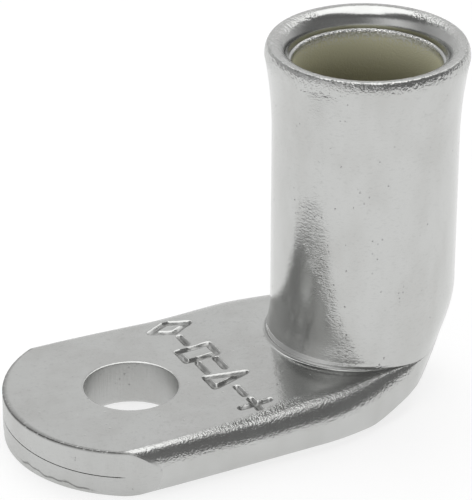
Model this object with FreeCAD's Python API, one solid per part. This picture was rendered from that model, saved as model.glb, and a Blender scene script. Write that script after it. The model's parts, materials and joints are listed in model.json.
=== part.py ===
# Tinned copper cable lug with its barrel at 90 degrees to the palm.
# It is one piece of tube: belled at the mouth, bent square and pressed flat at the other end into
# the palm, whose two long edges are the folds of the tube. The palm's end is sheared to an arc and
# a stud hole goes through both walls.
#
# Millimetres, +Z up. The origin is the stud hole's centre on the palm's underside, and the barrel
# stands at +X of it with its axis along Z.
import FreeCAD, Part
import math
import os

from FreeCAD import Vector

# Tube that the lug is made of
TUBE_OUTER_DIAMETER = 10.5
WALL = 1.35

# Barrel
BARREL_HEIGHT = 20.8            # from the palm's underside to the mouth
BELL_DEPTH = 5.5                # stretch over which the mouth opens
BELL_GROWTH = 0.45              # how much the outer radius grows there
MOUTH_ROUND = 1.06              # radius of the rounded lead-in inside the mouth
MOUTH_LAND = 0.30               # flat rim left outside the lead-in
MOUTH_EDGE_BREAK = 0.14         # small chamfer on the rim's outer edge

# Palm
SEAM_GAP = 0.06                 # hairline left between the two pressed walls
PALM_REACH = 7.17               # from the stud hole's centre to the palm's end
END_ARC_EXCESS = 0.2            # how much larger the end's arc is than the palm's half width
PRESS_DRAW = 0.015              # share of the metal's section that the press draws along the palm
FOLD_WIDTH = 0.9                # width of the rounded long edge near the palm's end
FOLD_ROUND = 0.75               # height of each of its two rounds, which leave an upright side
FOLD_EASE_LENGTH = 13.5         # stretch over which the fold narrows from the heel to that width

# Stud hole
STUD_HOLE_DIAMETER = 5.3
STUD_HOLE_TO_BARREL = 14.6      # from its centre to the barrel's axis
HOLE_ROLL = 0.45                # round that the punch rolled on the underside, where it went in;
                                # the edge where it came out, on top, is sharp

# Heel, where the tube turns into the palm
HEEL_HEIGHT = 6.4               # where the back wall starts to bend forward
CREASE_RADIUS = 0.35            # inside corner between barrel and palm
FOLD_TIP = 2.6                  # how far behind the barrel's axis the folds die out
FOLD_FULL = 6.0                 # how far in front of the axis they reach their full width
HEEL_PLAN_POWER = 1.70          # roundness of the heel seen from above; 2 is an ellipse
UNDERSIDE_ROUNDING = 2.9        # how far the underside's corners draw in

# What follows from these
tube_radius = TUBE_OUTER_DIAMETER / 2
bore_radius = tube_radius - WALL
palm_thickness = 2 * WALL + SEAM_GAP
half_thickness = palm_thickness / 2
# The metal's section keeps its area when the tube is pressed flat, apart from what is drawn along.
metal_section = math.pi * (tube_radius ** 2 - bore_radius ** 2) * (1 - PRESS_DRAW)
cut_corner = (1 - math.pi / 4) * FOLD_WIDTH * FOLD_ROUND
half_width = (metal_section / 2 + 2 * cut_corner) / palm_thickness      # each half has two corners
palm_end_x = -PALM_REACH
palm_end_radius = half_width + END_ARC_EXCESS
barrel_x = STUD_HOLE_TO_BARREL
bell_radius = tube_radius + BELL_GROWTH

# How finely curves and lofts are drawn
SIDE_STEPS = 4                  # points along each side of the palm
REAR_STEPS = 5                  # points along each half of the heel's back
HOLLOW_STEPS = 3                # points along each half of the hollow's back
MATCH = 0.004                   # how closely curves that share an edge agree
ROUND_LEVELS = 2                # outlines up each of the fold's rounds
SIDE_LEVELS = 2                 # outlines up its upright side
CREASE_LEVELS = 2               # outlines up the crease's small round
HEEL_LEVELS = 3                 # outlines from there to the heel's top
HOLLOW_LEVELS = 2               # outlines from the heel's top to the hollow's floor


def smooth(t):
    """0 to 1 with level ends."""
    t = min(1.0, max(0.0, t))
    return t * t * (3 - 2 * t)


def back_reach(z, radius, floor):
    """How far behind the barrel's axis the back wall lies at height z: a quarter ellipse."""
    u = min(1.0, max(0.0, (HEEL_HEIGHT - z) / (HEEL_HEIGHT - floor)))
    return radius * math.sqrt(1 - u * u)


def plan_power(z):
    """2, a circle, at the heel's top, and the heel's own roundness from the palm's top down."""
    t = smooth((z - palm_thickness) / (HEEL_HEIGHT - palm_thickness))
    return HEEL_PLAN_POWER + (2 - HEEL_PLAN_POWER) * t


def core_half_width(x, z):
    """Half width of the bent tube without its folds, at x from the barrel's axis."""
    start = -UNDERSIDE_ROUNDING * smooth(1 - z / half_thickness)
    power = plan_power(z)
    t = min(1.0, max(0.0, (x - start) / (back_reach(z, tube_radius, 0) - start)))
    return tube_radius * max(0.0, 1 - t ** power) ** (1 / power)


def fold_shoulder(x):
    """How much wider than the tube the palm's flat face is, at x from the barrel's axis."""
    return (half_width - FOLD_WIDTH - tube_radius) * smooth((-x - FOLD_FULL / 2) / FOLD_EASE_LENGTH)


def fold_share(x):
    """Share of the fold's full width: 1 along the palm, 0 at the tip behind the barrel."""
    t = min(1.0, max(0.0, (x + FOLD_FULL) / (FOLD_TIP + FOLD_FULL)))
    return math.cos(math.pi / 2 * t) ** 2


def fold_bulge(z):
    """Share of the fold's width at height z: a quarter round, an upright side, a quarter round."""
    depth = min(1.0, max(0.0, min(z, palm_thickness - z) / FOLD_ROUND))
    return math.sqrt(depth * (2 - depth))


def palm_half_width(x, z):
    """Half width of palm and heel at x from the barrel's axis and height z."""
    shoulder = fold_shoulder(x)
    fold = (half_width - tube_radius - shoulder) * fold_share(x)
    return core_half_width(x, z) + shoulder + fold * fold_bulge(z)


def even_curve(points):
    """A smooth curve through the points, with its parameter spaced evenly over them."""
    curve = Part.BSplineCurve()
    curve.interpolate(Points=points, Parameters=[i / (len(points) - 1) for i in range(len(points))])
    return curve.toShape()


def rear_steps(start, back, count):
    """Places from start to the back wall, closer together near the wall."""
    turns = [math.pi / 2 * i / count for i in range(count + 1)]
    return [start + (back - start) * math.sin(turn) for turn in turns]


def mirrored_curve(side, z):
    """A curve through one side's points, its last one on the middle plane, and their mirror."""
    near = [Vector(barrel_x + x, -y, z) for x, y in side]
    return even_curve(near + [Vector(p.x, -p.y, z) for p in reversed(near[:-1])])


def palm_outline(z):
    """The palm and heel cut level at height z."""
    back = back_reach(z, tube_radius, 0)
    start = -UNDERSIDE_ROUNDING * (1 - z / palm_thickness)
    rear = [(x, palm_half_width(x, z)) for x in rear_steps(start, back, REAR_STEPS)]
    rear[-1] = (back, 0)
    front = palm_end_x - barrel_x - WALL
    steps = [front + (start - front) * i / SIDE_STEPS for i in range(SIDE_STEPS + 1)]
    near = even_curve([Vector(barrel_x + x, -palm_half_width(x, z), z) for x in steps])
    far = even_curve([Vector(barrel_x + x, palm_half_width(x, z), z) for x in reversed(steps)])
    end = Part.makeLine(far.Vertexes[-1].Point, near.Vertexes[0].Point)
    return Part.Wire([near, mirrored_curve(rear, z), far, end])


def half_ellipse(front, width, z):
    """The half in front of the barrel's axis, from +Y round to -Y."""
    centre = Vector(barrel_x, 0, z)
    curve = Part.Circle(centre, Vector(0, 0, 1), width)
    if front > width:
        curve = Part.Ellipse(Vector(barrel_x - front, 0, z), Vector(barrel_x, -width, z), centre)
        return Part.ArcOfEllipse(curve, -math.pi / 2, math.pi / 2).toShape()
    return Part.ArcOfCircle(curve, math.pi / 2, 3 * math.pi / 2).toShape()


def heel_outline(z, front, width, back, power, count):
    """Half ellipse in front of the barrel's axis, and a rounded back behind it."""
    side = [(x, width * max(0.0, 1 - (x / back) ** power) ** (1 / power))
            for x in rear_steps(0, back, count)]
    return Part.Wire([half_ellipse(front, width, z), mirrored_curve(side, z)])


def quarter_round(radius, height):
    """How far a quarter round of this radius stands out at a height above its foot."""
    rest = max(0.0, radius - height)
    return radius - math.sqrt(radius * radius - rest * rest)


def loft(outlines):
    return Part.makeLoft(outlines, True)


def palm_and_fold():
    """The palm in three layers: its lower rounds, its upright sides and its upper rounds."""
    turns = [math.pi / 2 * i / ROUND_LEVELS for i in range(ROUND_LEVELS + 1)]
    rises = [FOLD_ROUND * (1 - math.cos(turn)) for turn in turns]
    side = palm_thickness - 2 * FOLD_ROUND
    return [loft([palm_outline(rise) for rise in rises]),
            loft([palm_outline(FOLD_ROUND + side * i / SIDE_LEVELS) for i in range(SIDE_LEVELS + 1)]),
            loft([palm_outline(palm_thickness - rise) for rise in rises])]


def heel():
    """The tube between the palm's top and the straight barrel, with the crease's small round."""
    def outline(z):
        front = tube_radius + quarter_round(CREASE_RADIUS, z - palm_thickness)
        back = back_reach(z, tube_radius, 0)
        return heel_outline(z, front, tube_radius, back, plan_power(z), REAR_STEPS)

    crease_top = palm_thickness + CREASE_RADIUS
    turns = [math.pi / 2 * i / CREASE_LEVELS for i in range(CREASE_LEVELS + 1)]
    crease = [outline(palm_thickness + CREASE_RADIUS * (1 - math.cos(turn))) for turn in turns]
    rise = HEEL_HEIGHT - crease_top
    wall = [outline(crease_top + rise * i / HEEL_LEVELS) for i in range(HEEL_LEVELS + 1)]
    return [loft(crease), loft(wall)]


def hollow_heel():
    """The hollow inside the heel, down to the hairline between the pressed walls."""
    floor = WALL + SEAM_GAP
    bend = CREASE_RADIUS + WALL
    outlines = []
    for i in range(HOLLOW_LEVELS + 1):
        z = HEEL_HEIGHT - (HEEL_HEIGHT - floor) * math.sin(math.pi / 2 * i / HOLLOW_LEVELS)
        front = bore_radius + quarter_round(bend, z - floor)
        back = back_reach(z, bore_radius, WALL)
        outlines.append(heel_outline(z, front, bore_radius, back, 2, HOLLOW_STEPS))
    return loft(outlines)


def seam():
    """The hairline from the hollow to the palm's end, one wall inside the folds."""
    front = palm_end_x - barrel_x - WALL
    steps = [front * (1 - i / SIDE_STEPS) for i in range(SIDE_STEPS + 1)]
    near = [Vector(barrel_x + x, WALL - palm_half_width(x, half_thickness), WALL) for x in steps]
    far = [Vector(p.x, -p.y, p.z) for p in reversed(near)]
    edges = [even_curve(near), Part.makeLine(near[-1], far[0]),
             even_curve(far), Part.makeLine(far[-1], near[0])]
    return Part.Face(Part.Wire(edges)).extrude(Vector(0, 0, SEAM_GAP))


def spline_arc(start, middle, end):
    """The arc as an exact spline: turned, it needs half the facets that a torus does."""
    return Part.Arc(start, middle, end).toBSpline().toShape()


def bell_arc(r0, z0, r1, z1):
    """Arc that leaves (r0, z0) straight up and reaches (r1, z1)."""
    radius = ((z1 - z0) ** 2 + (r1 - r0) ** 2) / (2 * (r1 - r0))
    half = math.asin((z1 - z0) / radius) / 2
    middle = Vector(r0 + radius * (1 - math.cos(half)), 0, z0 + radius * math.sin(half))
    return spline_arc(Vector(r0, 0, z0), middle, Vector(r1, 0, z1))


def round_arc(start, end, bulge):
    """Quarter round from start to end, (r, z) each, that bulges towards the corner bulge."""
    share = 1 - math.sqrt(0.5)
    middle = Vector(bulge[0] + share * (start[0] + end[0] - 2 * bulge[0]), 0,
                    bulge[1] + share * (start[1] + end[1] - 2 * bulge[1]))
    return spline_arc(Vector(start[0], 0, start[1]), middle, Vector(end[0], 0, end[1]))


def turned(edges, x):
    """A closed profile of (r, 0, z) edges turned round the upright axis at x."""
    ends = edges[-1].Vertexes[-1].Point, edges[0].Vertexes[0].Point
    corner_out, corner_in = Vector(0, 0, ends[0].z), Vector(0, 0, ends[1].z)
    closing = [Part.makeLine(ends[0], corner_out), Part.makeLine(corner_out, corner_in),
               Part.makeLine(corner_in, ends[1])]
    solid = Part.Face(Part.Wire(edges + closing)).revolve(Vector(), Vector(0, 0, 1), 360)
    solid.translate(Vector(x, 0, 0))
    return solid


def barrel():
    rim = BARREL_HEIGHT - MOUTH_EDGE_BREAK
    bell_foot = BARREL_HEIGHT - BELL_DEPTH
    return turned([
        Part.makeLine(Vector(tube_radius, 0, HEEL_HEIGHT), Vector(tube_radius, 0, bell_foot)),
        bell_arc(tube_radius, bell_foot, bell_radius, rim),
        Part.makeLine(Vector(bell_radius, 0, rim),
                      Vector(bell_radius - MOUTH_EDGE_BREAK, 0, BARREL_HEIGHT)),
    ], barrel_x)


def bore():
    """The conductor's bore, opened towards the mouth, with the rounded lead-in."""
    bell_foot = BARREL_HEIGHT - BELL_DEPTH
    lead_foot = BARREL_HEIGHT - MOUTH_ROUND
    lip = bell_radius - MOUTH_LAND
    throat = lip - MOUTH_ROUND
    above = BARREL_HEIGHT + WALL
    return turned([
        Part.makeLine(Vector(bore_radius, 0, HEEL_HEIGHT), Vector(bore_radius, 0, bell_foot)),
        bell_arc(bore_radius, bell_foot, throat, lead_foot),
        round_arc((throat, lead_foot), (lip, BARREL_HEIGHT), (throat, BARREL_HEIGHT)),
        Part.makeLine(Vector(lip, 0, BARREL_HEIGHT), Vector(lip, 0, above)),
    ], barrel_x)


def stud_hole():
    radius = STUD_HOLE_DIAMETER / 2
    rolled = radius + HOLE_ROLL
    return turned([
        Part.makeLine(Vector(rolled, 0, -WALL), Vector(rolled, 0, 0)),
        round_arc((rolled, 0), (radius, HOLE_ROLL), (radius, 0)),
        Part.makeLine(Vector(radius, 0, HOLE_ROLL), Vector(radius, 0, palm_thickness + WALL)),
    ], 0)


def inside_sheared_end():
    """Everything on the lug's side of the arc that the palm's end is sheared to."""
    centre = palm_end_x + palm_end_radius
    far = barrel_x + 2 * bell_radius
    top, bottom = Vector(centre, palm_end_radius, -WALL), Vector(centre, -palm_end_radius, -WALL)
    corners = [Vector(far, bottom.y, -WALL), Vector(far, top.y, -WALL)]
    edges = [Part.Arc(top, Vector(palm_end_x, 0, -WALL), bottom).toShape(),
             Part.makeLine(bottom, corners[0]), Part.makeLine(corners[0], corners[1]),
             Part.makeLine(corners[1], top)]
    return Part.Face(Part.Wire(edges)).extrude(Vector(0, 0, BARREL_HEIGHT + 3 * WALL))


def cable_lug():
    skin = barrel().fuse(palm_and_fold() + heel(), MATCH)
    hollows = hollow_heel().fuse([bore(), seam()], MATCH)
    solid = skin.cut([hollows, stud_hole()]).common(inside_sheared_end())
    return solid.removeSplitter()


os.makedirs("parts", exist_ok=True)
cable_lug().exportStep("parts/cable_lug.step")
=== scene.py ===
import json
import math

import bmesh
import bpy
import numpy as np
from mathutils import Matrix, Vector


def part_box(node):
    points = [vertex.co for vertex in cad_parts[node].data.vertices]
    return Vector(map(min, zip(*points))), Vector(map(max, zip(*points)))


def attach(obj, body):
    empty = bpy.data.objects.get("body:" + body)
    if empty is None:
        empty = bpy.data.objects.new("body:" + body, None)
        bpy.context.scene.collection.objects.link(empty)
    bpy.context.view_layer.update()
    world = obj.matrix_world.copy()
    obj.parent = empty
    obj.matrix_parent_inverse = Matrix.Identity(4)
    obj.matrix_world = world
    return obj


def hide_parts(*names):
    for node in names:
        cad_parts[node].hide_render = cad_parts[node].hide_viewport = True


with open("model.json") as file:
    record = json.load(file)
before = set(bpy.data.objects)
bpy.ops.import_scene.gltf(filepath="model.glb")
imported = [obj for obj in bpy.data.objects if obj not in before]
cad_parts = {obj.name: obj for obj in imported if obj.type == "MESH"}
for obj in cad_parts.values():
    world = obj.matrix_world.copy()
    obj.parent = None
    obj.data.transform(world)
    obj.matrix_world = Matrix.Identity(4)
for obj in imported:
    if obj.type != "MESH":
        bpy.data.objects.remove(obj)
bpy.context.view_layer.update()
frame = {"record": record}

MM = 0.001
mounts = {mount["name"]: mount for mount in frame["record"]["mounts"]}
stud, conductor = mounts["stud_hole"], mounts["conductor_barrel"]
low, high = (np.array(corner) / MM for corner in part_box("cable_lug"))

# Sizes of the solid
WALL = 1.35
SEAM_GAP = 0.06
HOLE_RADIUS = stud["dims"]["r_mm"]
THICKNESS = stud["dims"]["length_mm"]
HALF_THICKNESS = THICKNESS / 2
BARREL_X = conductor["pos_m"][0] / MM
BORE_RADIUS = conductor["dims"]["r_mm"]
TUBE_RADIUS = BORE_RADIUS + WALL
MOUTH_Z = high[2]
BELL_RADIUS = high[0] - BARREL_X
BELL_DEPTH = 5.5
LEAD_ROUND = 1.06
MOUTH_LAND = 0.30
PALM_END_X = low[0]
HALF_WIDTH = high[1]
END_RADIUS = HALF_WIDTH + 0.2
FOLD_WIDTH = 0.9
FOLD_POWER = 3.2                # squareness of the fold's lower half; 2 would be an ellipse
FOLD_POWER_TOP = 2.15           # the same for its upper half
FOLD_EASE_LENGTH = 13.5
FOLD_TIP = 2.6                  # behind the barrel's axis, where the fold has died out
FOLD_FULL = 6.0                 # before the barrel's axis, where it has its full width
HEEL_HEIGHT = 6.4
HEEL_PLAN_POWER = 1.70
UNDERSIDE_ROUNDING = 2.9
HOLE_ROLL = 0.45

# Small forms that the solid leaves out
CREASE_FOOT = 0.20              # round where the palm meets the barrel
CREASE_STEP = 0.12              # narrow land that the press left above it
CREASE_STEP_HEIGHT = 0.25
CREASE_FLARE = 0.22             # how far the bend pushes the barrel's front foot out
CREASE_FLARE_HEIGHT = 1.9
PALM_RISE = 0.29                # how much the palm's top climbs towards the crease
RISE_FROM, RISE_FULL = -10.8, -5.2  # where it begins and ends, from the barrel's axis
RISE_REAR, RISE_REAR_FADE = 4.5, 5.0  # where it has died out behind the axis, and over what length
RISE_FADE = 2.2                 # height of the barrel over which it dies out
RIM_ROUND = 0.28                # outer edge of the mouth: how far it draws in
RIM_ROUND_HEIGHT = 0.70
LEDGE = 0.17                    # burr-like step at the foot of the lead-in
# Outline of the step, outward and up from the lead-in's foot, in its own size
LEDGE_SHAPE = ((0, 0), (-0.12, -0.04), (-0.5, -0.2), (-0.85, -0.4), (-1, -0.75))
END_TOP_ROUND = 0.10            # roll of the sheared end's top edge
END_FOOT_ROUND = 0.06
SEAM_HALF_WIDTH = 0.026         # hairline between the pressed walls, seen on the sheared end
SEAM_DEPTH = 0.35
SEAM_FAR, SEAM_NEAR = 6.1, -6.45
SEAM_FAR_FADE, SEAM_NEAR_FADE = 0.8, 0.5
SEAM_SINK = 0.20                # how much lower it runs at the near side
SINK_FROM, SINK_RUN = 0.3, 6.8  # y where it begins to sink, and how far it takes
SINK_FADE = 2.0                 # stretch of the near side over which this dies out
TEAR_LEVEL, TEAR_SLOPE = 0.42, 0.03
TEAR_WAVES = ((0.05, 2.9, 0.8), (0.04, 7.1, 0.0))  # height, pace and phase of each
TEAR_DEPTH, TEAR_EDGE = 0.035, 0.05
TEAR_MIDDLE, TEAR_REACH, TEAR_FADE = -0.5, 6.5, 1.5
HOLE_EDGE_ROUND = 0.07
STAMP_DEPTH = 0.17
STAMP_LINE = 0.24               # half width of a stamped stroke, its walls included
STAMP_SOFTNESS = 0.19
STAMP_LEAST, STAMP_VARY = 0.66, 0.34  # share of the depth that is always pressed, and the rest

# Worn patches on the barrel: from one turn (degrees) and height to another, and half breadth
WORN = ((-152, 12.2, -147, 9.2, 1.2), (-147, 9.0, -127, 4.0, 0.85), (-114, 10.8, -112, 9.8, 0.8),
        (-97, 8.8, -94, 6.8, 0.7), (-118, 15.0, -120, 13.5, 0.7))
QUIET_LEAD = (0.451, 0.893)     # bearing of the lead-in's one smooth stretch

# Grid counts
ACROSS = 144                    # cells across the palm, and round each half of the barrel
ROWS_TO_STAMP, ROWS_IN_STAMP, ROWS_TO_END = 36, 52, 40
SIDE_ROWS = ROWS_TO_STAMP + ROWS_IN_STAMP + ROWS_TO_END
COARSE = 4                      # fine cells to one cell of the flat underside
STAMP_FROM, STAMP_TO = -7.5, -11.45  # from the barrel's axis
HOLE_ROWS = (88, 116)           # block of cells that the rings round the stud hole replace
HOLE_COLUMNS = (28, 116)
CORNER_ROUNDS = 40              # substitutions until the palm's corner stands still
WELD_DISTANCE = 2e-7            # metres
TEAR_LEVELS = np.linspace(0.20, 0.48, 9)  # rings of the end between which the torn line runs
HOLE_RING_SPACING = 0.7         # power below 1: the rings lie closer together near the hole

# Stamped marks, plain shapes in a row across the palm: its x, slant and spacing, and their size
STAMP_ROW = BARREL_X - 9.6
STAMP_SLANT = -0.05             # the row leans away from the barrel at its far end
STAMP_PITCH = 1.66
STAMP_HALF_LENGTH, STAMP_HALF_BREADTH = 1.22, 0.60

SHARP_ANGLE = math.radians(40)  # edges that turn by more are shaded sharp

# Masks: where a look begins and over how many millimetres it comes or goes
FOLD_BLEND = 0.3
FOLD_END_FROM, FOLD_END_FADE = 0.1, 0.15  # behind the sheared arc
PALM_FADE = 0.3                 # above the palm's top
ROUGH_MOUTH, ROUGH_MOUTH_FADE = 1.4, 0.8  # depth below the rim
ROUGH_LEAD_FROM, ROUGH_LEAD_FADE = 4.536, 0.412  # radius: the lead-in is smooth further in
QUIET_SHARE = 0.08              # roughness that the lead-in's smooth stretch keeps
QUIET_FROM, QUIET_FADE = 0.78, 0.12  # cosines of the turn away from QUIET_LEAD
FAR_SHARE, FAR_FROM, FAR_FADE = 0.15, 0.25, 0.35  # the same for the step below the lead-in and its painted highlight, broad on the far side
MOUTH_EDGE = 0.05               # inside the mouth's land
LEAD_FADE = 0.1
BURR_EDGE, BURR_HEIGHT = 0.02, 0.15
# Painted highlight: where the white speckle below the lead-in begins to fade, and over how much
GLINT_FROM, GLINT_FADE = 0.1, 0.9
BORE_FADE = 0.12
BORE_SHADE_DEPTH = 3.2                 # depth at which the bore's painted shade is darkest
END_SKIN = 0.2                  # thickness behind the sheared arc that counts as its edge
# Painted shadow: a dark line this far under the palm's top on the sheared end, and how softly it
# fades
END_EDGE_LEVEL, END_EDGE_FADE = 0.05, 0.12  # below the palm's top
TEAR_DARK = 0.10                # half height of the dark line where the cut tore
TEAR_DARK_NEAR, TEAR_DARK_FAR, TEAR_DARK_FADE = -5.6, -0.6, 0.6
SHEAR_FROM, SHEAR_FADE, SHEAR_TOP_FADE = 0.08, 0.12, 0.08
HOLE_SKIN = 0.04

# Grains of the skin: size of the dents in millimetres, and how often they repeat upwards
# for once along the level
GRAIN = {"clouds": (2.4, 0.5), "patches": (1.7, 0.7), "ticks": (0.24, 2.6), "fine": (0.11, 1.0),
         "dents": (0.22, 1.0), "streaks": (0.10, 0.05), "breaks": (0.7, 1.0), "rags": (0.2, 1.0)}
PATCH_STEP = (0.02, 0.16)       # levels of a grain between which its mask goes from 0 to 1
BREAK_STEP, RAG_STEP = (-0.06, 0.08), (-0.20, -0.06)
CLOUD_STEP, TICK_STEP, GLINT_STEP = (-0.15, 0.2), (0.04, 0.2), (-0.04, 0.06)
SCUFF_LEAST, SCUFF_VARY = 0.2, 0.8  # share of a worn patch that breaks don't touch, and the rest
# Relief: a grain, the mask it shows in, and its depth in millimetres
RELIEF = (("dents", "fold", 0.020), ("fine", "fold", 0.015), ("dents", "mouth", 0.060),
          ("fine", "mouth", 0.010), ("dents", "scuffed", 0.024), ("streaks", "shear", 0.020),
          ("fine", "bore", 0.03), ("fine", "ledge", 0.08))
TICK_DEPTH, TICK_DEPTH_PATCHES, TICK_DEPTH_SCUFFED = 0.006, 0.006, 0.020
PIT_SPACING, PIT_SIZE, PIT_DEPTH = 0.25, 0.07, 0.012
PITS_ANYWHERE, PITS_IN_WEAR, PATCH_WEAR = 0.01, 0.6, 0.25  # shares of the places that have a pit

# Colours, and how strongly each covers the plate
PLATE, PLATE_DULL = (0.57, 0.575, 0.565), (0.53, 0.532, 0.52)
# The bore's own yellowish colour, and the same darkened by painted shade deep down the bore
BORE_COLOUR, BORE_SHADED = (1.0, 0.98, 0.74), (0.40, 0.385, 0.27)
# Painted highlight: white speckle just below the lead-in
PAINTED_GLINT = (1.0, 1.0, 0.97)
PIT_COLOUR = (0.20, 0.20, 0.20)
# Painted shade in the stamped strokes, and painted shadow under the sheared end's top edge; the
# same grey draws the dark line along the tear
PAINTED_SHADE_GREY = (0.17, 0.17, 0.165)
PIT_COVER, TICK_COVER, EDGE_SHADE_COVER, STROKE_SHADE_COVER = 0.28, 0.10, 0.95, 0.75
BORE_METALLIC = 0.15
ROUGHNESS = 0.17
ROUGHER = (("fold", 0.23), ("shear", 0.38), ("stamp", 0.50), ("bore", 0.50))

CAMERA_TARGET = Vector((6.526, 0, 9.774)) * MM
CAMERA_DISTANCE = 177.22 * MM
CAMERA_AZIMUTH, CAMERA_ELEVATION, CAMERA_ROLL = (math.radians(v) for v in (-26.775, 27.48, 0.19))
CAMERA_CLIP = 0.01              # metres
FOCAL_PIXELS = 3190.3
FRAME_HEIGHT = 500
SENSOR = 36

# Light of the white room, in directions seen from the camera: right, and away from it. A long
# bright panel hangs overhead. Below it the walls are pale, greyer at the left, and dim from
# behind the photographer round to the right.
RIGHTWARD = (math.cos(CAMERA_AZIMUTH), math.sin(CAMERA_AZIMUTH), 0.0)
AWAY = (-math.sin(CAMERA_AZIMUTH), math.cos(CAMERA_AZIMUTH), 0.0)
UPWARD = (0.0, 0.0, 1.0)
# Sides of the panel, as parts of a direction one long
PANEL_RIGHT, PANEL_LEFT, PANEL_FRONT, PANEL_BACK = 0.37, -0.30, -0.40, 0.66
SPREAD_RIGHT, SPREAD_LEFT = 0.45, -0.25  # how its sides run apart towards the back
PANEL_EDGE = 0.05
PANEL_LOWEST = (0.3, 0.4)       # upward part below which there is no panel
PANEL_LEVEL = 1.75
UPPER_WALL = 0.17
WALL_TOP = (36, 50)             # degrees of elevation over which the walls turn dim
# Levels of the walls by turns round the room from straight away, through left and front to right
WALL_LEVELS = ((0.0, 0.83), (0.12, 0.58), (0.25, 0.42), (0.38, 0.82), (0.54, 0.22), (0.74, 0.20),
               (0.92, 0.70), (1.0, 0.83))
FLOOR_HALF = 3.0                # metres
FLOOR_GREY = 0.42
FLOOR_GLOW = 0.72               # lifts the floor for the camera and in reflections


def smooth(t):
    """0 to 1 with level ends: t squared times (3 - 2 t), clipped."""
    t = np.clip(t, 0.0, 1.0)
    return t * t * (3 - 2 * t)


def quarter_round(radius, height):
    """How far a quarter round stands out at a height above its foot."""
    rest = np.clip(radius - height, 0.0, radius)
    return radius - np.sqrt(radius * radius - rest * rest)


def back_reach(z, radius, floor):
    """Quarter ellipse: how far behind the barrel's axis the back wall lies at height z."""
    u = np.clip((HEEL_HEIGHT - z) / (HEEL_HEIGHT - floor), 0.0, 1.0)
    return radius * np.sqrt(1 - u * u)


def plan_power(z):
    """Exponent of the heel's plan, 2 at the heel's top and more pointed below it."""
    climb = smooth((z - THICKNESS) / (HEEL_HEIGHT - THICKNESS))
    return HEEL_PLAN_POWER + (2 - HEEL_PLAN_POWER) * climb


def core_half_width(x, z):
    """Superellipse half width of the bent tube without its folds, x from the barrel's axis."""
    start = -UNDERSIDE_ROUNDING * smooth(1 - z / HALF_THICKNESS)
    power = plan_power(z)
    t = np.clip((x - start) / np.maximum(back_reach(z, TUBE_RADIUS, 0) - start, 1e-9), 0.0, 1.0)
    return TUBE_RADIUS * np.clip(1 - t ** power, 0.0, 1.0) ** (1 / power)


def fold_shoulder(x):
    """How much wider than the tube the flat face is at x from the barrel's axis."""
    return (HALF_WIDTH - FOLD_WIDTH - TUBE_RADIUS) * smooth((-x - FOLD_FULL / 2) / FOLD_EASE_LENGTH)


def fold_share(x):
    """Share of the fold's full width, a squared cosine that dies out behind the barrel."""
    t = np.clip((x + FOLD_FULL) / (FOLD_TIP + FOLD_FULL), 0.0, 1.0)
    return np.cos(math.pi / 2 * t) ** 2


def fold_bulge(z):
    """Superellipse: share of the fold's width at height z, none on the two faces."""
    power = np.where(z > HALF_THICKNESS, FOLD_POWER_TOP, FOLD_POWER)
    return np.clip(1 - np.abs(z / HALF_THICKNESS - 1) ** power, 0, 1) ** (1 / power)


def palm_half_width(x, z):
    """Core, shoulder and fold at x from the barrel's axis and height z."""
    shoulder = fold_shoulder(x)
    fold = (HALF_WIDTH - TUBE_RADIUS - shoulder) * fold_share(x) * fold_bulge(z)
    return core_half_width(x, z) + shoulder + fold


def end_x(y):
    """x of the sheared arc at y, from the barrel's axis."""
    return PALM_END_X + END_RADIUS - np.sqrt(END_RADIUS ** 2 - y * y) - BARREL_X


def corner(z):
    """Where the palm's side meets the sheared arc, found by repeated substitution."""
    x = end_x(HALF_WIDTH)
    for _ in range(CORNER_ROUNDS):
        x = 0.5 * (x + end_x(palm_half_width(x, z)))
    return x, palm_half_width(x, z)


def side_steps(start, stop):
    """Places along the side from start to stop, with the stamped stretch finely divided."""
    first = np.linspace(0, 1, ROWS_TO_STAMP + 1)
    middle = np.linspace(0, 1, ROWS_IN_STAMP + 1)[1:]
    last = np.linspace(0, 1, ROWS_TO_END + 1)[1:]
    start, stop = np.asarray(start)[..., None], np.asarray(stop)[..., None]
    return np.concatenate([start + (STAMP_FROM - start) * first,
                           STAMP_FROM + (STAMP_TO - STAMP_FROM) * middle + 0 * start,
                           STAMP_TO + (stop - STAMP_TO) * last], axis=-1)


def seam_level(y):
    """Height of the hairline on the sheared face: half the thickness, sinking to the near side."""
    return HALF_THICKNESS - SEAM_SINK * smooth((SINK_FROM - y) / SINK_RUN)


def sink(y, z):
    """Height z carried down with the hairline, not at all at the two faces."""
    return z - (HALF_THICKNESS - seam_level(y)) * (1 - (z / HALF_THICKNESS - 1) ** 2)


def tear_line(y):
    """Wavy height at which the cut tore, lower towards the near side."""
    line = TEAR_LEVEL + TEAR_SLOPE * y
    for height, pace, phase in TEAR_WAVES:
        line = line + height * np.sin(pace * y + phase)
    return line


def end_inset(y, z):
    """How far the sheared face lies back: rolled edges, the hairline and the torn strip below."""
    inset = quarter_round(END_TOP_ROUND, THICKNESS - z) + quarter_round(END_FOOT_ROUND, z)
    run = smooth((SEAM_FAR - y) / SEAM_FAR_FADE) * smooth((y - SEAM_NEAR) / SEAM_NEAR_FADE)
    seam = np.clip(2 * (1 - np.abs(z - seam_level(y)) / SEAM_HALF_WIDTH), 0, 1)
    tear = (smooth((tear_line(y) - z) / TEAR_EDGE)
            * smooth((TEAR_REACH - np.abs(y - TEAR_MIDDLE)) / TEAR_FADE))
    return inset + SEAM_DEPTH * seam * run + TEAR_DEPTH * tear


def rise(points):
    """Lifts the palm's top towards the crease; the underside and the barrel above stay."""
    x, z = points[:, 0] - BARREL_X, points[:, 2]
    climb = (smooth((x - RISE_FROM) / (RISE_FULL - RISE_FROM))
             * smooth((RISE_REAR - x) / RISE_REAR_FADE))
    inside = np.hypot(x, points[:, 1]) < BORE_RADIUS + WALL / 2
    fade = np.where(z < THICKNESS, z / THICKNESS, 1 - smooth((z - THICKNESS) / RISE_FADE))
    lifted = points.copy()
    lifted[:, 2] += np.where(inside, 0, PALM_RISE * climb * fade)
    return lifted


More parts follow.
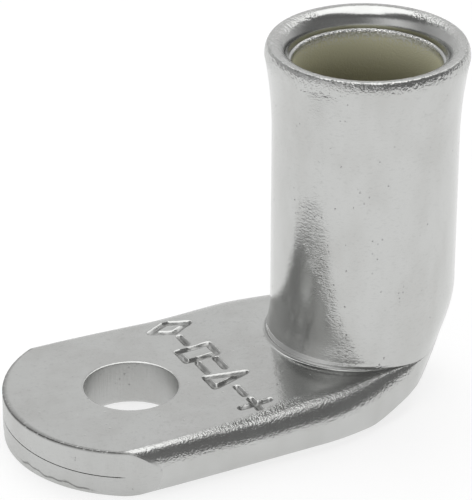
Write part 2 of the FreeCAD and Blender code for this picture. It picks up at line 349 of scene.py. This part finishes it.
def weld(patches):
    """One closed mesh from patches of (points, faces), joined where their edges share places."""
    points, faces, first = [], [], 0
    for patch_points, patch_faces in patches:
        points.append(patch_points.reshape(-1, 3))
        faces += [[first + i for i in face] for face in patch_faces]
        first += len(points[-1])
    mesh = bpy.data.meshes.new("lug_body")
    mesh.from_pydata(rise(np.concatenate(points)) * MM, [], faces)
    work = bmesh.new()
    work.from_mesh(mesh)
    bmesh.ops.remove_doubles(work, verts=work.verts, dist=WELD_DISTANCE)
    bmesh.ops.recalc_face_normals(work, faces=work.faces)
    work.to_mesh(mesh)
    work.free()
    return mesh


def grid_quads(rows, columns):
    """Corners of each cell in a grid of rows by columns of points."""
    index = np.arange(rows * columns).reshape(rows, columns)
    return np.stack([index[:-1, :-1], index[:-1, 1:], index[1:, 1:], index[1:, :-1]], -1)


def ring_patch(rings):
    """A band of closed rings: (levels, points round, 3)."""
    closed = np.concatenate([rings, rings[:, :1]], axis=1)
    return closed, grid_quads(*closed.shape[:2]).reshape(-1, 4).tolist()


def stitch(fine, coarse):
    """Faces between a fine closed ring and a coarse one that shares every COARSE-th place."""
    count = len(coarse)
    index = np.arange(count)
    upper = (index[:, None] * COARSE + np.arange(COARSE, -1, -1)) % len(fine)
    lower = np.stack([index, (index + 1) % count], -1) + len(fine)
    return np.concatenate([fine, coarse]), np.concatenate([lower, upper], -1).tolist()


def levels():
    """Heights of the palm's rings: even turns of the fold, and close ones at edges and hairline."""
    turn = np.linspace(0, math.pi / 2, 17)[:-1]
    lower, upper = (HALF_THICKNESS * (1 - np.cos(turn) ** (2 / power))
                    for power in (FOLD_POWER, FOLD_POWER_TOP))
    groove = HALF_THICKNESS + SEAM_HALF_WIDTH * np.array([-2.5, -1, -0.5, 0, 0.5, 1, 2.5])
    rounds = [THICKNESS - END_TOP_ROUND * share for share in (0.06, 0.5, 1)]
    feet = [END_FOOT_ROUND * share for share in (0.15, 0.5, 1)]
    heights = np.concatenate([lower, THICKNESS - upper, groove, rounds, TEAR_LEVELS, feet])
    return np.unique(np.round(heights, 4))[::-1]


def palm_ring(level):
    """Level outline at one height: near side, round the back, far side, sheared end."""
    start = -UNDERSIDE_ROUNDING * (1 - level / THICKNESS)
    corner_x, corner_y = corner(level)
    side_x = side_steps(start, corner_x)
    side_y = palm_half_width(side_x, level)
    side_y[-1] = corner_y
    angle = np.linspace(-math.pi / 2, math.pi / 2, ACROSS + 1)
    rear_x = start + (back_reach(level, TUBE_RADIUS, 0) - start) * np.cos(angle)
    rear_y = np.sign(angle) * palm_half_width(rear_x, level)
    rear_y[ACROSS // 2] = 0
    arc_y = np.linspace(1, -1, ACROSS + 1) * corner_y
    arc_z = sink(arc_y, level)
    arc_x = end_x(arc_y) + end_inset(arc_y, arc_z)
    near_x, far_x = side_x.copy(), side_x.copy()
    far_x[-1], near_x[-1] = arc_x[0], arc_x[-1]
    near_share = smooth(1 - (near_x - corner_x) / SINK_FADE)
    near_z = level + (arc_z[-1] - level) * near_share
    near_y = -palm_half_width(near_x, near_z)
    x = np.concatenate([near_x[::-1], rear_x[1:], far_x[1:], arc_x[1:-1]])
    y = np.concatenate([near_y[::-1], rear_y[1:], side_y[1:], arc_y[1:-1]])
    z = np.concatenate([near_z[::-1], np.full(len(rear_x) + len(far_x) - 2, level), arc_z[1:-1]])
    return np.stack([BARREL_X + x, y, z], -1)


def ring_parts(ring):
    """A palm ring split into near side, rear, far side and end, all running from -Y to +Y."""
    near = ring[:SIDE_ROWS + 1][::-1]
    rear = ring[SIDE_ROWS:SIDE_ROWS + ACROSS + 1]
    far = ring[SIDE_ROWS + ACROSS:2 * SIDE_ROWS + ACROSS + 1]
    end = np.concatenate([ring[2 * SIDE_ROWS + ACROSS:], ring[:1]])[::-1]
    return near, rear, far, end


def face_grid(first_row, end_row, z):
    """Flat face between first_row and the sheared end; the share of the width runs evenly."""
    x_first, x_end = first_row[:, 0] - BARREL_X, end_row[:, 0] - BARREL_X
    x = side_steps(x_first, x_end).T
    width = palm_half_width(x, z)
    share_first = first_row[:, 1] / palm_half_width(x_first, z)
    share_end = np.linspace(-1, 1, len(first_row))
    t = smooth((x - x_first) / (STAMP_FROM - x_first + 1e-9))
    share = share_first + (share_end - share_first) * t
    grid = np.stack([BARREL_X + x, share * width, np.full_like(x, z)], -1)
    grid[0], grid[-1] = first_row, end_row
    return grid


def hole_block(grid, rows, columns):
    """The grid without the block round the stud hole, and the block's edge as a closed ring."""
    r0, r1 = rows
    c0, c1 = columns
    quads = grid_quads(*grid.shape[:2])
    keep = np.ones(quads.shape[:2], bool)
    keep[r0:r1, c0:c1] = False
    edge = np.concatenate([grid[r0, c0:c1], grid[r0:r1, c1],
                           grid[r1, c1:c0:-1], grid[r1:r0:-1, c0]])
    return quads[keep].tolist(), edge


def hole_rings(edge, radius, z, layers):
    """Rings from the block's edge in to the circle, in the edge points' own directions."""
    angle = np.arctan2(edge[:, 1], edge[:, 0])
    circle = np.stack([radius * np.cos(angle), radius * np.sin(angle), np.full_like(angle, z)], -1)
    t = np.linspace(0, 1, layers + 1)[:, None, None] ** HOLE_RING_SPACING
    return edge + (circle - edge) * t, angle


def stroke_distance(x, y, start, stop):
    """Distance from each point to the straight stroke from start to stop."""
    run_x, run_y = stop[0] - start[0], stop[1] - start[1]
    t = np.clip(((x - start[0]) * run_x + (y - start[1]) * run_y) / (run_x ** 2 + run_y ** 2), 0, 1)
    return np.hypot(x - start[0] - t * run_x, y - start[1] - t * run_y)


def stamp_marks():
    """Strokes of each mark, in its own half lengths and breadths from its centre."""
    diamond = [((1, 0), (0, 1)), ((0, 1), (-1, 0)), ((-1, 0), (0, -1)), ((0, -1), (1, 0))]
    twin_bars = [((0.45, -1), (0.45, 1)), ((-0.45, -1), (-0.45, 1))]
    box = [((0.8, -1), (0.8, 1)), ((0.8, 1), (-0.8, 1)),
           ((-0.8, 1), (-0.8, -1)), ((-0.8, -1), (0.8, -1))]
    dash = [((0, -0.8), (0, 0.8))]
    wedge = [((1, 0), (-0.8, 1)), ((-0.8, 1), (-0.8, -1)), ((-0.8, -1), (1, 0))]
    cross = [((0.7, 0), (-0.7, 0)), ((0, -1), (0, 1))]
    return [diamond, dash, box, twin_bars, wedge, dash, cross]


def stamp_depth(x, y):
    """Depth of the stamped marks: strokes with soft walls, pressed unevenly along their run."""
    depth = np.zeros_like(x)
    marks = stamp_marks()
    for i, mark in enumerate(marks):
        centre_y = ((len(marks) - 1) / 2 - i) * STAMP_PITCH
        for start, stop in mark:
            ends = [(STAMP_ROW + STAMP_SLANT * centre_y + STAMP_HALF_LENGTH * a,
                     centre_y + STAMP_HALF_BREADTH * b) for a, b in (start, stop)]
            wall = stroke_distance(x, y, *ends) - STAMP_LINE + STAMP_SOFTNESS
            depth = np.maximum(depth, 1 - smooth(wall / STAMP_SOFTNESS))
    pressed = smooth(0.62 + 0.9 * np.sin(4.1 * x + 2.3 * y) * np.sin(3.3 * y - 2.1 * x + 0.7))
    return STAMP_DEPTH * depth * (STAMP_LEAST + STAMP_VARY * pressed)


def barrel_ring(radius_front, width, radius_back, power, z):
    """Plan of the barrel or heel: half ellipse in front of the axis, superellipse behind."""
    angle = np.linspace(-math.pi / 2, math.pi / 2, ACROSS + 1)
    rear_x = radius_back * np.cos(angle)
    t = np.clip(rear_x / max(radius_back, 1e-9), 0, 1)
    rear_y = np.sign(angle) * width * np.clip(1 - t ** power, 0, 1) ** (1 / power)
    front_x = -radius_front * np.cos(angle[::-1])
    front_y = width * np.sin(angle[::-1])
    x = np.concatenate([rear_x, front_x[1:-1]])
    y = np.concatenate([rear_y, front_y[1:-1]])
    return np.stack([BARREL_X + x, y, np.full_like(x, z)], -1)


def arc_profile(r0, z0, r1, z1, count):
    """Points of the arc that leaves (r0, z0) straight up and reaches (r1, z1)."""
    radius = ((z1 - z0) ** 2 + (r1 - r0) ** 2) / (2 * (r1 - r0))
    angle = np.linspace(0, math.asin((z1 - z0) / radius), count + 1)
    return np.stack([r0 + radius * (1 - np.cos(angle)), z0 + radius * np.sin(angle)], -1)


def round_profile(centre, radius, start, stop, count):
    """Points of an arc about centre from one angle to another."""
    angle = np.linspace(start, stop, count + 1)
    return np.stack([centre[0] + radius * np.cos(angle), centre[1] + radius * np.sin(angle)], -1)


def heel_rings():
    """Outer rings from the crease up to the heel's top."""
    foot = THICKNESS + CREASE_FOOT * (1 - np.cos(np.linspace(0, math.pi / 2, 7)))
    riser = THICKNESS + CREASE_FOOT + CREASE_STEP_HEIGHT * np.linspace(0, 1, 7)[1:]
    wall = np.linspace(riser[-1], HEEL_HEIGHT, 19)[1:]
    rings = []
    for z in np.concatenate([foot, riser, wall]):
        above = z - THICKNESS
        land = CREASE_STEP * (1 - smooth((above - CREASE_FOOT) / CREASE_STEP_HEIGHT))
        flare = CREASE_FLARE * (1 - smooth(above / CREASE_FLARE_HEIGHT))
        front = TUBE_RADIUS + quarter_round(CREASE_FOOT, above) + land + flare
        back = back_reach(z, TUBE_RADIUS, 0)
        rings.append(barrel_ring(front, TUBE_RADIUS, back, plan_power(z), z))
    return rings


def mouth_rings():
    """Outer rings from the heel's top to the rim, over it and down the bore to the hollow heel."""
    bell_foot = MOUTH_Z - BELL_DEPTH
    rim_z = MOUTH_Z - RIM_ROUND_HEIGHT
    lip = BELL_RADIUS - MOUTH_LAND
    throat = lip - LEAD_ROUND
    straight = np.stack([np.full(10, TUBE_RADIUS), np.linspace(HEEL_HEIGHT, bell_foot, 11)[1:]], -1)
    bell = arc_profile(TUBE_RADIUS, bell_foot, BELL_RADIUS, rim_z, 18)[1:]
    turn = np.linspace(0, math.pi / 2, 9)[1:]
    rim = np.stack([BELL_RADIUS - RIM_ROUND * (1 - np.cos(turn)),
                    rim_z + RIM_ROUND_HEIGHT * np.sin(turn)], -1)
    lead = round_profile((lip, MOUTH_Z - LEAD_ROUND), LEAD_ROUND, math.pi / 2, math.pi, 12)[:-1]
    ledge = np.array([throat, MOUTH_Z - LEAD_ROUND]) + LEDGE * np.array(LEDGE_SHAPE)
    inner = arc_profile(BORE_RADIUS, bell_foot, *ledge[-1], 12)[::-1][1:]
    bore = np.stack([np.full(8, BORE_RADIUS), np.linspace(bell_foot, HEEL_HEIGHT, 9)[1:]], -1)
    profile = np.concatenate([straight, bell, rim, lead, ledge, inner, bore])
    return [barrel_ring(r, r, r, 2.0, z) for r, z in profile]


def hollow_rings():
    """Inner rings of the hollow heel down to its floor, closed at one point."""
    floor = WALL + SEAM_GAP
    bend = CREASE_FOOT + CREASE_STEP + WALL
    rings = []
    for turn in np.linspace(0, math.pi / 2, 12)[1:]:
        z = HEEL_HEIGHT - (HEEL_HEIGHT - floor) * math.sin(turn)
        front = BORE_RADIUS + quarter_round(bend, z - floor)
        rings.append(barrel_ring(front, BORE_RADIUS, back_reach(z, BORE_RADIUS, WALL), 2.0, z))
    centre = rings[-1].mean(axis=0)
    return rings + [centre + (rings[-1] - centre) * share for share in (0.5, 0.0)]


def lug_body():
    """The whole skin: barrel and bore, palm's sides and end, both faces and the stud hole."""
    upper = np.array(heel_rings() + mouth_rings() + hollow_rings())
    palm = np.array([palm_ring(level) for level in levels()])
    top_parts = ring_parts(palm[0])
    crease = np.concatenate([upper[0][ACROSS:], upper[0][:1]])[::-1]
    top = face_grid(crease, top_parts[3], THICKNESS)
    top[:, 0], top[:, -1] = top_parts[0], top_parts[2]
    top[1:-1, 1:-1, 2] -= stamp_depth(top[1:-1, 1:-1, 0], top[1:-1, 1:-1, 1])
    top_quads, top_edge = hole_block(top, HOLE_ROWS, HOLE_COLUMNS)

    bottom_ring = palm[-1][::COARSE]
    under_parts = ring_parts(palm[-1])
    fine_under = face_grid(under_parts[1], under_parts[3], 0.0)
    fine_under[:, 0], fine_under[:, -1] = under_parts[0], under_parts[2]
    under = fine_under[::COARSE, ::COARSE]
    block = [tuple(i // COARSE for i in span) for span in (HOLE_ROWS, HOLE_COLUMNS)]
    under_quads, under_edge = hole_block(under, *block)

    top_rings, angle = hole_rings(top_edge, HOLE_RADIUS + HOLE_EDGE_ROUND, THICKNESS, 8)
    depth = np.concatenate([
        THICKNESS - HOLE_EDGE_ROUND * np.sin(np.linspace(0, math.pi / 2, 4)),
        np.linspace(THICKNESS - HOLE_EDGE_ROUND, HOLE_ROLL, 11)[1:],
        HOLE_ROLL * (1 - np.sin(np.linspace(0, math.pi / 2, 7)[1:]))])
    wall_radius = (HOLE_RADIUS + quarter_round(HOLE_EDGE_ROUND, THICKNESS - depth)
                   + quarter_round(HOLE_ROLL, depth))
    ring = np.stack([np.cos(angle), np.sin(angle)], -1)
    wall = np.concatenate([wall_radius[:, None, None] * ring,
                           np.broadcast_to(depth[:, None, None], (len(depth), len(angle), 1))], -1)
    under_rings, _ = hole_rings(under_edge, HOLE_RADIUS + HOLE_ROLL, 0.0, 2)
    under_rings[-1] = wall[-1][::COARSE]
    return weld([ring_patch(upper), ring_patch(palm[:-1]), stitch(palm[-2], bottom_ring),
                 (top, top_quads), ring_patch(top_rings), ring_patch(wall[:-1]),
                 stitch(wall[-2], wall[-1][::COARSE]), (under, under_quads),
                 ring_patch(under_rings)])


def mouth_masks(x, y, z):
    """Rough mouth, lead-in, the step below it with its painted highlight speckle, and the bore with
    the painted shade that darkens it deeper down.
    """
    radius = np.hypot(x, y)
    mid_radius = BORE_RADIUS + WALL / 2
    mid_back = np.where(x > 0, back_reach(z, mid_radius, WALL / 2), mid_radius)
    inside = (np.hypot(x / np.maximum(mid_back, 1e-6), y / mid_radius) < 1) & (z > WALL)
    outside = radius > BELL_RADIUS - MOUTH_LAND - MOUTH_EDGE
    below_lead = MOUTH_Z - LEAD_ROUND - z
    bearing = (x * QUIET_LEAD[0] + y * QUIET_LEAD[1]) / np.maximum(radius, 1e-6)
    rough_lead = ((1 - smooth((bearing - QUIET_FROM) / QUIET_FADE))
                  * smooth((radius - ROUGH_LEAD_FROM) / ROUGH_LEAD_FADE))
    rough_lead = QUIET_SHARE + (1 - QUIET_SHARE) * rough_lead
    far_side = FAR_SHARE + (1 - FAR_SHARE) * smooth((bearing - FAR_FROM) / FAR_FADE)
    # Band below the lead-in that carries the step's relief and the painted highlight speckle
    burr_and_glint = inside * smooth(below_lead / BURR_EDGE) * far_side
    return {
        "mouth": (smooth((z - MOUTH_Z + ROUGH_MOUTH) / ROUGH_MOUTH_FADE)
                  * np.where(outside, 1.0, rough_lead)),
        "lead": ~outside * smooth((LEAD_FADE - below_lead) / LEAD_FADE),
        "ledge": burr_and_glint * (1 - smooth((below_lead - BURR_HEIGHT) / BURR_HEIGHT)),
        # Painted highlight: white speckle on the band's upper part
        "speckle": burr_and_glint * (1 - smooth((below_lead - GLINT_FROM) / GLINT_FADE)),
        "bore": inside * smooth((below_lead - LEDGE) / BORE_FADE),
        # Painted shade: the bore's colour darkens further down
        "depth": inside * smooth(below_lead / BORE_SHADE_DEPTH),
    }


def palm_masks(x, y, z):
    """Folded edges, sheared faces, a painted shadow under the sheared end's top edge with the dark
    line where it tore, and stamped strokes, which carry painted shade.
    """
    flat_edge = core_half_width(x, THICKNESS) + fold_shoulder(x)
    behind_end = x - end_x(np.clip(y, -HALF_WIDTH, HALF_WIDTH))
    on_palm = smooth((THICKNESS + PALM_RISE + PALM_FADE - z) / PALM_FADE)
    top_edge = 1 - smooth(np.abs(THICKNESS - END_EDGE_LEVEL - z) / END_EDGE_FADE)
    torn_edge = ((1 - smooth(np.abs(z - tear_line(y)) / TEAR_DARK))
                 * smooth((y - TEAR_DARK_NEAR) / TEAR_DARK_FADE)
                 * smooth((TEAR_DARK_FAR - y) / TEAR_DARK_FADE))
    sheared_end = ((1 - smooth((behind_end - SHEAR_FROM) / SHEAR_FADE))
                   * smooth((THICKNESS - z) / SHEAR_TOP_FADE))
    return {
        "fold": (smooth((np.abs(y) - flat_edge + FOLD_BLEND / 2) / FOLD_BLEND) * on_palm
                 * smooth((behind_end - FOLD_END_FROM) / FOLD_END_FADE)),
        # Painted shadow under the sheared end's top edge, and the dark line along the tear
        "edge": (np.abs(behind_end) < END_SKIN) * np.maximum(top_edge, torn_edge),
        "shear": np.maximum(sheared_end, np.hypot(x + BARREL_X, y) < HOLE_RADIUS + HOLE_SKIN),
        # Stamped strokes: rougher, and darkened with painted shade
        "stamp": stamp_depth(x + BARREL_X, y) / STAMP_DEPTH * (z > HALF_THICKNESS),
    }


def worn_mask(x, y, z):
    """Worn patches, measured along the barrel's girth and height."""
    girth = TUBE_RADIUS * np.arctan2(y, x)
    worn = np.zeros(len(x))
    for from_turn, from_z, to_turn, to_z, breadth in WORN:
        ends = [(TUBE_RADIUS * math.radians(turn), height)
                for turn, height in ((from_turn, from_z), (to_turn, to_z))]
        worn = np.maximum(worn, 1 - smooth(stroke_distance(girth, z, *ends) / breadth))
    return worn * (np.hypot(x, y) > TUBE_RADIUS - WALL / 2)


def place_masks(mesh):
    """Writes every mask to the mesh and returns their names."""
    places = np.empty(3 * len(mesh.vertices))
    mesh.vertices.foreach_get("co", places)
    x, y, z = (places.reshape(-1, 3) / MM).T
    x = x - BARREL_X
    masks = {**mouth_masks(x, y, z), **palm_masks(x, y, z), "worn": worn_mask(x, y, z)}
    for name, mask in masks.items():
        attribute = mesh.attributes.new(name, "FLOAT", "POINT")
        attribute.data.foreach_set("value", mask.astype(np.float32))
    return list(masks)


def lug():
    """The lug as one piece in the skin of its whole form."""
    mesh = lug_body()
    mask_names = place_masks(mesh)
    mesh.shade_smooth()
    mesh.set_sharp_from_angle(angle=SHARP_ANGLE)
    piece = bpy.data.objects.new("lug_body", mesh)
    bpy.context.scene.collection.objects.link(piece)
    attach(piece, "root")
    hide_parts("cable_lug")
    mesh.materials.append(tin_plate(mask_names))


def feed(tree, socket, source):
    """Gives a socket a link, a plain colour or a plain number."""
    if isinstance(source, bpy.types.NodeSocket):
        tree.links.new(source, socket)
    elif isinstance(source, tuple):
        socket.default_value = (*source, 1)
    else:
        socket.default_value = source


def value_node(tree, operation, *inputs):
    """A maths node on links or plain numbers."""
    node = tree.nodes.new("ShaderNodeMath")
    node.operation = operation
    for socket, source in zip(node.inputs, inputs):
        feed(tree, socket, source)
    return node.outputs["Value"]


def times(tree, first, *others):
    """Product of links and plain numbers, taken from the left."""
    for other in others:
        first = value_node(tree, "MULTIPLY", first, other)
    return first


def step(tree, value, start, stop):
    """A soft step from 0 at start to 1 at stop."""
    node = tree.nodes.new("ShaderNodeMapRange")
    node.interpolation_type = "SMOOTHSTEP"
    node.inputs["From Min"].default_value = start
    node.inputs["From Max"].default_value = stop
    tree.links.new(value, node.inputs["Value"])
    return node.outputs["Result"]


def along(tree, vector, axis):
    """Part of a vector that runs along an axis one long."""
    node = tree.nodes.new("ShaderNodeVectorMath")
    node.operation = "DOT_PRODUCT"
    node.inputs[1].default_value = axis
    tree.links.new(vector, node.inputs[0])
    return node.outputs["Value"]


def grey_ramp(tree, value, stops):
    """Greys that change softly between the stops, pairs of place and level."""
    ramp = tree.nodes.new("ShaderNodeValToRGB")
    ramp.color_ramp.interpolation = "EASE"
    tree.links.new(value, ramp.inputs["Fac"])
    elements = ramp.color_ramp.elements
    while len(elements) < len(stops):
        elements.new(0.5)
    for element, (place, level) in zip(elements, stops):
        element.position = place
        element.color = (level, level, level, 1)
    return ramp.outputs["Color"]


def mix(tree, kind, factor, first, second):
    """Runs from first to second with the factor; kind is RGBA for colours, FLOAT for numbers."""
    node = tree.nodes.new("ShaderNodeMix")
    node.data_type = kind
    for label, source in (("Factor", factor), ("A", first), ("B", second)):
        feed(tree, node.inputs[label], source)
    return node.outputs["Result"]


def shared(name, inputs, output):
    """An empty node group with float inputs after the place, and one float output."""
    group = bpy.data.node_groups.new(name, "ShaderNodeTree")
    group.interface.new_socket("Place", in_out="INPUT", socket_type="NodeSocketVector")
    for label in inputs:
        group.interface.new_socket(label, in_out="INPUT", socket_type="NodeSocketFloat")
    group.interface.new_socket(output, in_out="OUTPUT", socket_type="NodeSocketFloat")
    given, out = (group.nodes.new(kind) for kind in ("NodeGroupInput", "NodeGroupOutput"))
    return group, given.outputs, out.inputs


def beaten_skin():
    """Small dents of a given size, stretched along the level: height -0.5 to 0.5."""
    group, given, out = shared("beaten_skin", ("Size", "Stretch"), "Height")
    parts = group.nodes.new("ShaderNodeSeparateXYZ")
    group.links.new(given["Place"], parts.inputs[0])
    spread = group.nodes.new("ShaderNodeCombineXYZ")
    group.links.new(parts.outputs["X"], spread.inputs["X"])
    group.links.new(parts.outputs["Y"], spread.inputs["Y"])
    group.links.new(times(group, parts.outputs["Z"], given["Stretch"]), spread.inputs["Z"])
    noise = group.nodes.new("ShaderNodeTexNoise")
    noise.inputs["Detail"].default_value = 2.0
    noise.inputs["Roughness"].default_value = 0.6
    group.links.new(spread.outputs[0], noise.inputs["Vector"])
    group.links.new(value_node(group, "DIVIDE", 1, given["Size"]), noise.inputs["Scale"])
    group.links.new(value_node(group, "SUBTRACT", noise.outputs["Fac"], 0.5), out["Height"])
    return group


def pits():
    """Round specks, spaced and sized in millimetres; Share says how many of the places have one."""
    group, given, out = shared("pits", ("Spacing", "Size", "Share"), "Mask")
    cells = group.nodes.new("ShaderNodeTexVoronoi")
    group.links.new(given["Place"], cells.inputs["Vector"])
    group.links.new(value_node(group, "DIVIDE", 1, given["Spacing"]), cells.inputs["Scale"])
    away = times(group, cells.outputs["Distance"], given["Spacing"])
    near = value_node(group, "SUBTRACT", 1, value_node(group, "DIVIDE", away, given["Size"]))
    slope = times(group, value_node(group, "MAXIMUM", near, 0), 2)
    body = value_node(group, "MINIMUM", slope, 1)
    lot = group.nodes.new("ShaderNodeSeparateColor")
    group.links.new(cells.outputs["Color"], lot.inputs[0])
    chosen = value_node(group, "LESS_THAN", lot.outputs["Red"], given["Share"])
    group.links.new(times(group, body, chosen), out["Mask"])
    return group


def use(tree, group, place, **values):
    """Puts a shared effect into a tree with its own values and returns its output."""
    node = tree.nodes.new("ShaderNodeGroup")
    node.node_tree = group
    tree.links.new(place, node.inputs["Place"])
    for label, value in values.items():
        feed(tree, node.inputs[label], value)
    return node.outputs[0]


def masked(tree, name):
    """A mask of the mesh, by its name."""
    node = tree.nodes.new("ShaderNodeAttribute")
    node.attribute_name = name
    return node.outputs["Fac"]


def tin_plate(mask_names):
    """Tin over copper: faint clouds, drawn ticks and pits on the barrel, beaten folds and mouth,
    a duller yellowish bore with painted shade deeper down and a painted highlight speckle at its
    top, torn grain on the sheared faces, painted shade in the stamped strokes and a painted shadow
    under the sheared end's top edge."""
    material = bpy.data.materials.new("tin_plate")
    material.use_nodes = True
    tree = material.node_tree
    shader = tree.nodes["Principled BSDF"]
    scale = tree.nodes.new("ShaderNodeVectorMath")
    scale.operation = "SCALE"
    scale.inputs["Scale"].default_value = 1 / MM
    tree.links.new(tree.nodes.new("ShaderNodeTexCoord").outputs["Object"], scale.inputs[0])
    place = scale.outputs[0]
    mask = {name: masked(tree, name) for name in mask_names}
    skin = beaten_skin()
    grain = {name: use(tree, skin, place, Size=size, Stretch=stretch)
             for name, (size, stretch) in GRAIN.items()}

    patches = step(tree, grain["patches"], *PATCH_STEP)
    broken = step(tree, grain["breaks"], *BREAK_STEP)
    scuffing = value_node(tree, "ADD", times(tree, broken, SCUFF_VARY), SCUFF_LEAST)
    mask["scuffed"] = times(tree, mask["worn"], scuffing)
    drawn = value_node(tree, "SUBTRACT", 1, value_node(
        tree, "MAXIMUM", mask["lead"], value_node(tree, "MAXIMUM", mask["fold"], mask["bore"])))
    wear = value_node(tree, "MAXIMUM", times(tree, patches, PATCH_WEAR), mask["worn"])
    share = value_node(tree, "ADD", times(tree, wear, PITS_IN_WEAR), PITS_ANYWHERE)
    pitted = times(tree, use(tree, pits(), place, Spacing=PIT_SPACING, Size=PIT_SIZE, Share=share),
                   drawn)

    tick_depth = value_node(
        tree, "ADD", times(tree, mask["scuffed"], TICK_DEPTH_SCUFFED),
        value_node(tree, "ADD", times(tree, patches, TICK_DEPTH_PATCHES), TICK_DEPTH))
    height = times(tree, grain["ticks"], drawn, tick_depth)
    for name, where, depth in RELIEF:
        height = value_node(tree, "ADD", height, times(tree, grain[name], mask[where], depth))
    height = value_node(tree, "ADD", height, times(tree, pitted, -PIT_DEPTH))
    bump = tree.nodes.new("ShaderNodeBump")
    bump.inputs["Distance"].default_value = MM
    tree.links.new(height, bump.inputs["Height"])
    tree.links.new(bump.outputs["Normal"], shader.inputs["Normal"])

    colour = mix(tree, "RGBA", step(tree, grain["clouds"], *CLOUD_STEP), PLATE, PLATE_DULL)
    ticked = times(tree, step(tree, grain["ticks"], *TICK_STEP), drawn, TICK_COVER)
    # Painted shadow as a ragged dark line under the sheared end's top edge, and the dark line along
    # the tear
    edge_shadow_and_tear = times(tree, mask["edge"], step(tree, grain["rags"], *RAG_STEP), EDGE_SHADE_COVER)
    # Painted highlight: white speckle below the lead-in
    burr_and_glint = times(tree, mask["speckle"], step(tree, grain["fine"], *GLINT_STEP))
    # The bore's yellowish colour, darkened deeper down by painted shade
    bore = mix(tree, "RGBA", mask["depth"], BORE_COLOUR, BORE_SHADED)
    # Over the plate in turn: pits, ticks, painted shadow and tear line at the sheared end, painted
    # shade in the stamped strokes, the bore, and the painted highlight below the lead-in
    for cover, over in ((times(tree, pitted, PIT_COVER), PIT_COLOUR), (ticked, PIT_COLOUR),
                        (edge_shadow_and_tear, PAINTED_SHADE_GREY),
                        (times(tree, mask["stamp"], STROKE_SHADE_COVER), PAINTED_SHADE_GREY),
                        (mask["bore"], bore), (burr_and_glint, PAINTED_GLINT)):
        colour = mix(tree, "RGBA", cover, colour, over)
    tree.links.new(colour, shader.inputs["Base Color"])
    metallic = mix(tree, "FLOAT", mask["bore"], 1.0, BORE_METALLIC)
    tree.links.new(metallic, shader.inputs["Metallic"])
    roughness = ROUGHNESS
    for name, rougher in ROUGHER:
        roughness = mix(tree, "FLOAT", mask[name], roughness, rougher)
    tree.links.new(roughness, shader.inputs["Roughness"])
    return material


def paper_floor():
    """Pale paper under the lug; its glow is for the camera and reflections, and lights nothing."""
    mesh = bpy.data.meshes.new("floor")
    corners = [(-1, -1), (1, -1), (1, 1), (-1, 1)]
    mesh.from_pydata([(FLOOR_HALF * x, FLOOR_HALF * y, 0) for x, y in corners], [], [(0, 1, 2, 3)])
    plane = bpy.data.objects.new("floor", mesh)
    bpy.context.scene.collection.objects.link(plane)
    material = bpy.data.materials.new("floor_paper")
    material.use_nodes = True
    tree = material.node_tree
    shader = tree.nodes["Principled BSDF"]
    for label, value in (("Base Color", (FLOOR_GREY,) * 3), ("Roughness", 1.0),
                         ("Specular IOR Level", 0.0), ("Emission Color", (1, 1, 1))):
        feed(tree, shader.inputs[label], value)
    ray = tree.nodes.new("ShaderNodeLightPath").outputs
    seen = value_node(tree, "MAXIMUM", ray["Is Camera Ray"], ray["Is Glossy Ray"])
    tree.links.new(times(tree, seen, FLOOR_GLOW), shader.inputs["Emission Strength"])
    mesh.materials.append(material)


def studio():
    """World light of the room; the camera itself sees plain white."""
    world = bpy.data.worlds.new("studio")
    bpy.context.scene.world = world
    world.use_nodes = True
    tree = world.node_tree
    place = tree.nodes.new("ShaderNodeTexCoord").outputs["Generated"]
    right, away, up = (along(tree, place, axis) for axis in (RIGHTWARD, AWAY, UPWARD))
    turn = value_node(tree, "ARCTAN2", right, times(tree, away, -1))
    round_room = value_node(tree, "ADD", value_node(tree, "DIVIDE", turn, 2 * math.pi), 0.5)
    above = step(tree, up, *(math.sin(math.radians(angle)) for angle in WALL_TOP))
    room = mix(tree, "RGBA", above, grey_ramp(tree, round_room, WALL_LEVELS), (UPPER_WALL,) * 3)
    right_side, left_side = (value_node(tree, "SUBTRACT", right, times(tree, away, spread))
                             for spread in (SPREAD_RIGHT, SPREAD_LEFT))

    def edge(value, place, half):
        """Soft edge of the panel: 1 past the place, or before it where half is negative."""
        return step(tree, value, place - half, place + half)

    sideways = times(tree, edge(right_side, PANEL_RIGHT, -PANEL_EDGE),
                     edge(left_side, PANEL_LEFT, PANEL_EDGE))
    lengthways = times(tree, edge(away, PANEL_FRONT, PANEL_EDGE),
                       edge(away, PANEL_BACK, -PANEL_EDGE / 2))
    overhead = times(tree, sideways, lengthways, step(tree, up, *PANEL_LOWEST))
    lit = mix(tree, "RGBA", overhead, room, (PANEL_LEVEL,) * 3)
    camera_ray = tree.nodes.new("ShaderNodeLightPath").outputs["Is Camera Ray"]
    shown = mix(tree, "RGBA", camera_ray, lit, (1, 1, 1))
    tree.links.new(shown, tree.nodes["Background"].inputs["Color"])


def camera():
    """The photo's camera; its lens follows from the focal length in pixels."""
    data = bpy.data.cameras.new("camera")
    data.sensor_fit = "VERTICAL"
    data.sensor_height = SENSOR
    data.lens = FOCAL_PIXELS / FRAME_HEIGHT * SENSOR
    data.clip_start = CAMERA_CLIP
    eye = bpy.data.objects.new("camera", data)
    bpy.context.scene.collection.objects.link(eye)
    flat = math.cos(CAMERA_ELEVATION)
    back = Vector((math.sin(CAMERA_AZIMUTH) * flat, -math.cos(CAMERA_AZIMUTH) * flat,
                   math.sin(CAMERA_ELEVATION)))
    right = Vector(RIGHTWARD)
    turn = Matrix((right, back.cross(right), back)).transposed()
    turn = turn @ Matrix.Rotation(CAMERA_ROLL, 3, "Z")
    eye.matrix_world = Matrix.Translation(CAMERA_TARGET + back * CAMERA_DISTANCE) @ turn.to_4x4()
    bpy.context.scene.camera = eye


lug()
paper_floor()
studio()
camera()
bpy.context.scene.view_settings.view_transform = "Standard"
